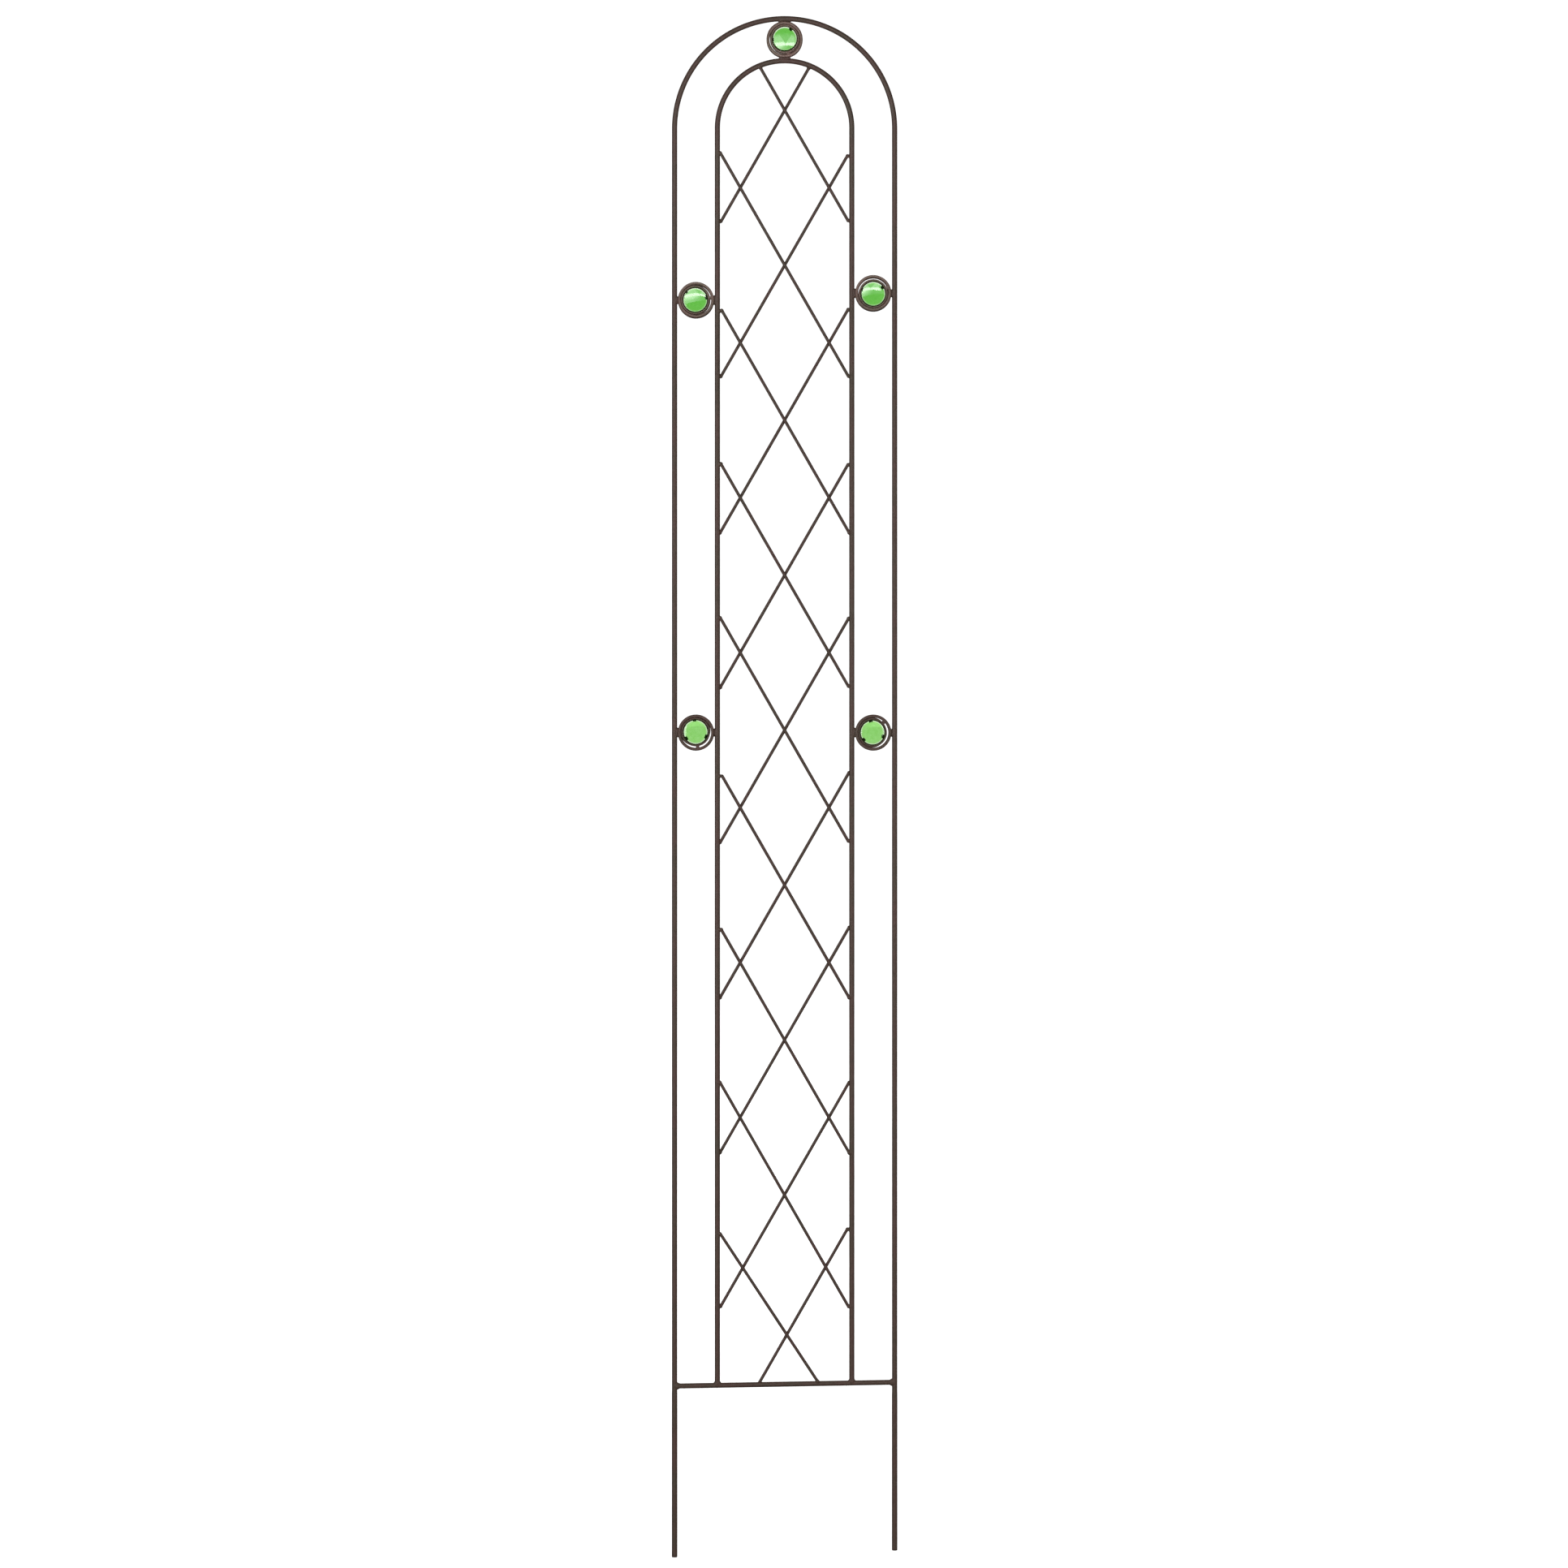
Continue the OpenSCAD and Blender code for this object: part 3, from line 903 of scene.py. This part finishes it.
def seam_mesh(name, closed, seed):
    """Coat and braze that closes the narrow side of the gap between a bezel and its ring."""
    bx, bz = bezel_place(name)
    end = 180 if closed else SEAM_END
    turn = np.radians(np.linspace(-end, end, 180, endpoint=not closed))
    angle = turn + gap_direction(name) + math.pi
    to_end = math.radians(SEAM_END) - np.abs(turn)
    fade = np.clip(to_end / math.radians(SEAM_END - SEAM_FULL), closed, 1)
    clearance = CLEARANCE - bezel_shift(name) * np.cos(turn)
    inner = BEZEL_R - 0.35
    outer = BEZEL_R - 0.2 + (clearance + 0.45) * fade ** 0.8
    half = 1.2 + 2.1 * fade ** 0.5
    unit = np.stack([np.cos(angle), np.zeros(len(turn)), np.sin(angle)], 1)
    rows = []
    for share in np.linspace(0, 1, 5):
        dip = 1.0 - 0.22 * math.sin(math.pi * share)
        r = inner + (outer - inner) * share
        level = np.array([0, 1, 0]) * (half * dip)[:, None]
        rows.append(np.array([bx, 0, bz]) + unit * r[:, None] - level)
    front = np.stack(rows, 1)
    front[..., 1] += 0.2 * waves(front, 5, seed)
    back = front[:, ::-1] * (1, -1, 1)
    loop = np.concatenate([front, back], 1)
    rings, sides = loop.shape[:2]
    faces = grid_faces(rings, sides, closed_rings=bool(closed))
    if not closed:
        faces += [tuple(range(sides))[::-1], tuple((rings - 1) * sides + i for i in range(sides))]
    return loop.reshape(-1, 3), faces


def build_tack_welds():
    parts = []
    for number, (name, tack, _, closed) in enumerate(GEMS):
        (x, z), (bx, bz) = ring_place(name), bezel_place(name)
        a = math.radians(tack)
        gap = CLEARANCE + bezel_shift(name) * math.cos(a - gap_direction(name))
        out = RING_R - RING_WALL - gap / 2
        centre = np.array([x + out * math.cos(a), -3.4, z + out * math.sin(a)])
        members = [ring_member(x, z), bezel_member(bx, bz)]
        blobs = [(centre, (1.9, 1.4, 1.9))]
        parts.append(weld(centre, 4.4, members, blobs, 1.2, SEEDS["tacks"] + number))
        parts.append(seam_mesh(name, closed, SEEDS["seams"] + number))
    return make_piece("bezel_tacks", *joined(parts), weld_coat,
                      ["bezel_tack_welds"], "coated_weld")


def spatter(count, centre, spread, seed):
    """Tiny beads of weld metal stuck to the front of the crossbar."""
    rng = np.random.default_rng(seed)
    parts = []
    for _ in range(count):
        along, turn = rng.normal(0, spread), rng.uniform(-1.1, 1.1)
        place = on_crossbar(centre + along, turn)
        parts.append(dot_mesh(place, rng.uniform(0.25, 0.5)))
    return parts


def dot_mesh(place, r, steps=6, sides=10):
    """A small ball."""
    rows = []
    for i in range(1, steps):
        a = math.pi * i / steps
        for j in range(sides):
            b = 2 * math.pi * j / sides
            around = r * math.sin(a)
            rows.append((around * math.cos(b), around * math.sin(b), r * math.cos(a)))
    verts = np.vstack([rows, (0, 0, r), (0, 0, -r)]) + np.asarray(place)
    faces = [f[::-1] for f in grid_faces(steps - 1, sides)]
    n = (steps - 1) * sides
    for j in range(sides):
        k = (j + 1) % sides
        faces.append((j, k, n))
        faces.append((n - sides + k, n - sides + j, n + 1))
    return verts, faces


def on_crossbar(x, turn):
    """A point on the crossbar's surface; turn 0 faces the front."""
    return np.array([x, -ROD_R * math.cos(turn), bar_z(x) + ROD_R * math.sin(turn)])


def post_joint(side):
    """The bead between an end of the crossbar and its post."""
    x = side * (OUTER_X - ROD_R)
    centre = np.array([x - side * 0.8, 0.0, bar_z(x)])
    blobs = [(centre + (side * 0.2, -0.8, 2.6), (1.5, 1.6, 1.4)),
             (centre + (side * 0.3, 0.6, -2.6), (1.4, 1.6, 1.3)),
             (centre + (side * 0.4, -2.5, -0.6), (1.6, 0.9, 1.9))]
    members = [post_member(side * OUTER_X), bar_member]
    return weld(centre, 8.2, members, blobs, 1.9, SEEDS["post joints"] + side)


def foot_joint(side):
    """The bead round the foot of an inner post, on top of the crossbar."""
    x = side * INNER_X
    centre = np.array([x, 0.0, bar_z(x) + ROD_R - 0.4])
    blobs = [(centre + (2.3, -0.9, 0.5), (1.5, 1.7, 1.2)),
             (centre + (-2.4, -0.5, 0.4), (1.5, 1.7, 1.3)),
             (centre + (-0.3, -2.4, -0.2), (2.2, 1.0, 1.2)),
             (centre + (0.3, 2.2, 0.2), (1.9, 1.4, 1.4))]
    members = [foot_member(x), bar_member]
    return weld(centre, 8.2, members, blobs, 1.5, SEEDS["foot joints"] + side, 0.2)


def build_crossbar_welds():
    parts = []
    for side in (-1, 1):
        parts += [post_joint(side), foot_joint(side)]
        near_foot, near_post = side * INNER_X, side * (OUTER_X - 7)
        parts += spatter(9, near_foot, 4.5, SEEDS["foot spatter"] + side)
        parts += spatter(5, near_post, 3.0, SEEDS["post spatter"] + side)
    make_piece("crossbar_beads", *joined(parts), weld_coat, ["crossbar_welds"], "coated_weld")


# ---------------------------------------------------------------- the studio


def stage_surface(name, verts, faces, material):
    """A surface of the studio, in metres."""
    mesh = bpy.data.meshes.new(name)
    mesh.from_pydata(verts, [], faces)
    mesh.polygons.foreach_set("use_smooth", [True] * len(faces))
    obj = bpy.data.objects.new(name, mesh)
    bpy.context.scene.collection.objects.link(obj)
    mesh.materials.append(material)
    return obj


def paper_material():
    """White paper that also glows, so that it stays evenly bright, and that is clear from behind."""
    material, nodes, links = new_material("paper")
    glow = nodes.new("ShaderNodeEmission")
    glow.inputs["Color"].default_value = (1, 1, 1, 1)
    glow.inputs["Strength"].default_value = 1.0
    matt = nodes.new("ShaderNodeBsdfDiffuse")
    matt.inputs["Color"].default_value = (0.35, 0.35, 0.35, 1)
    both = nodes.new("ShaderNodeAddShader")
    links.new(glow.outputs[0], both.inputs[0])
    links.new(matt.outputs[0], both.inputs[1])
    clear = nodes.new("ShaderNodeBsdfTransparent")
    mix = nodes.new("ShaderNodeMixShader")
    links.new(nodes.new("ShaderNodeNewGeometry").outputs["Backfacing"], mix.inputs[0])
    links.new(both.outputs[0], mix.inputs[1])
    links.new(clear.outputs[0], mix.inputs[2])
    out = nodes.new("ShaderNodeOutputMaterial")
    links.new(mix.outputs[0], out.inputs["Surface"])
    return material


def bank_material():
    """A light bank that only shows where something as smooth as glass mirrors it.

    A bright band with a shallow V notch in its top edge, dimmer paper above it, and to the left
    also below it.
    """
    material, nodes, links = new_material("light_bank")

    def maths(operation, *values):
        return arithmetic(nodes, links, operation, *values)

    def fade(value, span, at_low, at_high):
        node = nodes.new("ShaderNodeMapRange")
        node.interpolation_type = "SMOOTHSTEP"
        node.inputs["From Min"].default_value = span[0]
        node.inputs["From Max"].default_value = span[1]
        node.inputs["To Min"].default_value = at_low
        node.inputs["To Max"].default_value = at_high
        links.new(value, node.inputs["Value"])
        return node.outputs["Result"]

    where = nodes.new("ShaderNodeTexCoord").outputs["Object"]
    split = nodes.new("ShaderNodeSeparateXYZ")
    links.new(where, split.inputs[0])
    x = split.outputs["X"]
    z = maths("MULTIPLY_ADD", noise(nodes, links, where, 9, 3), 0.05, split.outputs["Z"])
    z = maths("MULTIPLY_ADD", maths("MULTIPLY", x, x), 0.10, z)

    off_notch = maths("ABSOLUTE", maths("ADD", x, -NOTCH_X))
    notch = fade(maths("MULTIPLY_ADD", off_notch, -NOTCH_SLOPE, z), NOTCH, 1.0, 0.42)
    band = maths("MULTIPLY", fade(z, LOWER_EDGE, 0.0, 1.0), fade(z, UPPER_EDGE, 1.0, 0.34))
    band = maths("MULTIPLY", band, notch)
    band = maths("MULTIPLY", band, fade(z, PAPER_END, 1.0, 0.0))
    band = maths("MULTIPLY", band, fade(x, RIGHT_END, 1.0, 0.0))

    slanted = maths("MULTIPLY_ADD", x, LOW_TILT, z)
    low = maths("MULTIPLY", fade(slanted, LOW_START, 0.0, 0.36), fade(z, LOWER_EDGE, 1.0, 0.0))
    low = maths("MULTIPLY", low, fade(x, LOW_LEFT, 1.0, 0.15))
    low = maths("MULTIPLY", low, fade(z, LOW_RISE, 0.7, 1.9))

    path = nodes.new("ShaderNodeLightPath")
    power = maths("MULTIPLY_ADD", path.outputs["Is Singular Ray"], BANK_POWER, 1.0)
    glow = nodes.new("ShaderNodeEmission")
    links.new(maths("MULTIPLY", maths("ADD", band, low), power), glow.inputs["Strength"])
    out = nodes.new("ShaderNodeOutputMaterial")
    links.new(glow.outputs[0], out.inputs["Surface"])
    return material


def area_light(name, place, target, size, power, glossy=True):
    """A softbox that lights the coat but leaves no mirror image in the glass."""
    light = bpy.data.lights.new(name, "AREA")
    light.shape = "RECTANGLE"
    light.size, light.size_y = size
    light.energy = power
    light.use_nodes = True
    nodes, links = light.node_tree.nodes, light.node_tree.links
    path = nodes.new("ShaderNodeLightPath")
    dull = arithmetic(nodes, links, "SUBTRACT", 1.0, path.outputs["Is Singular Ray"])
    links.new(dull, nodes["Emission"].inputs["Strength"])
    obj = bpy.data.objects.new(name, light)
    bpy.context.scene.collection.objects.link(obj)
    obj.location = place
    obj.rotation_euler = (Vector(target) - Vector(place)).to_track_quat("-Z", "Y").to_euler()
    obj.visible_glossy = glossy
    obj.visible_camera = False
    obj.visible_transmission = False
    return obj


def build_sweep():
    """A paper sweep: the floor curves up into the wall behind."""
    bend_y = SWEEP_BACK - SWEEP_RADIUS
    profile = [(-SWEEP_HALF, 0.0), (bend_y, 0.0)]
    for i in range(1, 25):
        a = math.pi / 2 * i / 24
        profile.append((bend_y + SWEEP_RADIUS * math.sin(a), SWEEP_RADIUS - SWEEP_RADIUS * math.cos(a)))
    profile.append((SWEEP_BACK, SWEEP_RISE))
    verts = [(x, y, z) for y, z in profile for x in (-SWEEP_HALF, SWEEP_HALF)]
    faces = [(2 * i, 2 * i + 1, 2 * i + 3, 2 * i + 2) for i in range(len(profile) - 1)]
    obj = stage_surface("paper_sweep", verts, faces, paper_material())
    obj.visible_glossy = False
    obj.visible_diffuse = False


def build_bank():
    verts = [(x, BANK_Y, z) for z in (BANK_LOW, BANK_HIGH) for x in (-BANK_HALF, BANK_HALF)]
    panel = stage_surface("light_bank", verts, [(0, 1, 3, 2)], bank_material())
    panel.visible_camera = False
    panel.visible_transmission = False
    panel.visible_shadow = False
    panel.visible_diffuse = False


def build_near_light(gem_metal):
    """The bank's own light on the gems' metal: from above on the side gems, from below on the top one."""
    x, _, z = NEAR_LIGHT
    light = area_light("near_bank", NEAR_LIGHT, (x, 0, z), (0.7, 0.10), 1.15)
    lit = bpy.data.collections.new("lit_by_near_bank")
    for obj in gem_metal:
        lit.objects.link(obj)
    light.light_linking.receiver_collection = lit


def background(nodes, colour):
    node = nodes.new("ShaderNodeBackground")
    node.inputs["Color"].default_value = (*colour, 1)
    node.inputs["Strength"].default_value = 1.0
    return node.outputs[0]


def build_world():
    """White where the camera sees it, directly or through glass, and dim in the coat's gloss."""
    world = bpy.data.worlds.new("studio")
    bpy.context.scene.world = world
    world.use_nodes = True
    nodes, links = world.node_tree.nodes, world.node_tree.links
    nodes.clear()
    path = nodes.new("ShaderNodeLightPath").outputs
    seen = arithmetic(nodes, links, "MAXIMUM", path["Is Camera Ray"], path["Is Transmission Ray"])
    mix = nodes.new("ShaderNodeMixShader")
    links.new(seen, mix.inputs[0])
    links.new(background(nodes, (0.045, 0.042, 0.04)), mix.inputs[1])
    links.new(background(nodes, (1, 1, 1)), mix.inputs[2])
    out = nodes.new("ShaderNodeOutputWorld")
    links.new(mix.outputs[0], out.inputs["Surface"])


def build_studio(gem_metal):
    build_sweep()
    build_bank()
    build_near_light(gem_metal)
    for name, place, size, power, glossy in SOFTBOXES:
        area_light(name, place, AIM, size, power, glossy)
    build_world()


def build_camera():
    """Level, straight in front, at the height of the lower gems."""
    camera = bpy.data.cameras.new("camera")
    camera.sensor_width = SENSOR
    camera.lens = SENSOR * DISTANCE / SEEN
    camera.shift_x = SEEN_X / SEEN
    camera.shift_y = (SEEN_Z - EYE) / SEEN
    obj = bpy.data.objects.new("camera", camera)
    bpy.context.scene.collection.objects.link(obj)
    obj.location = (0, -DISTANCE, EYE)
    obj.rotation_euler = (math.pi / 2, 0, 0)
    bpy.context.scene.camera = obj
    bpy.context.scene.view_settings.view_transform = "Standard"


build_bars()
build_wires()
gem_metal = build_gems()
build_wire_end_welds()
build_crossing_welds()
build_ring_welds()
gem_metal += [build_tack_welds()]
build_crossbar_welds()
build_studio(gem_metal)
build_camera()
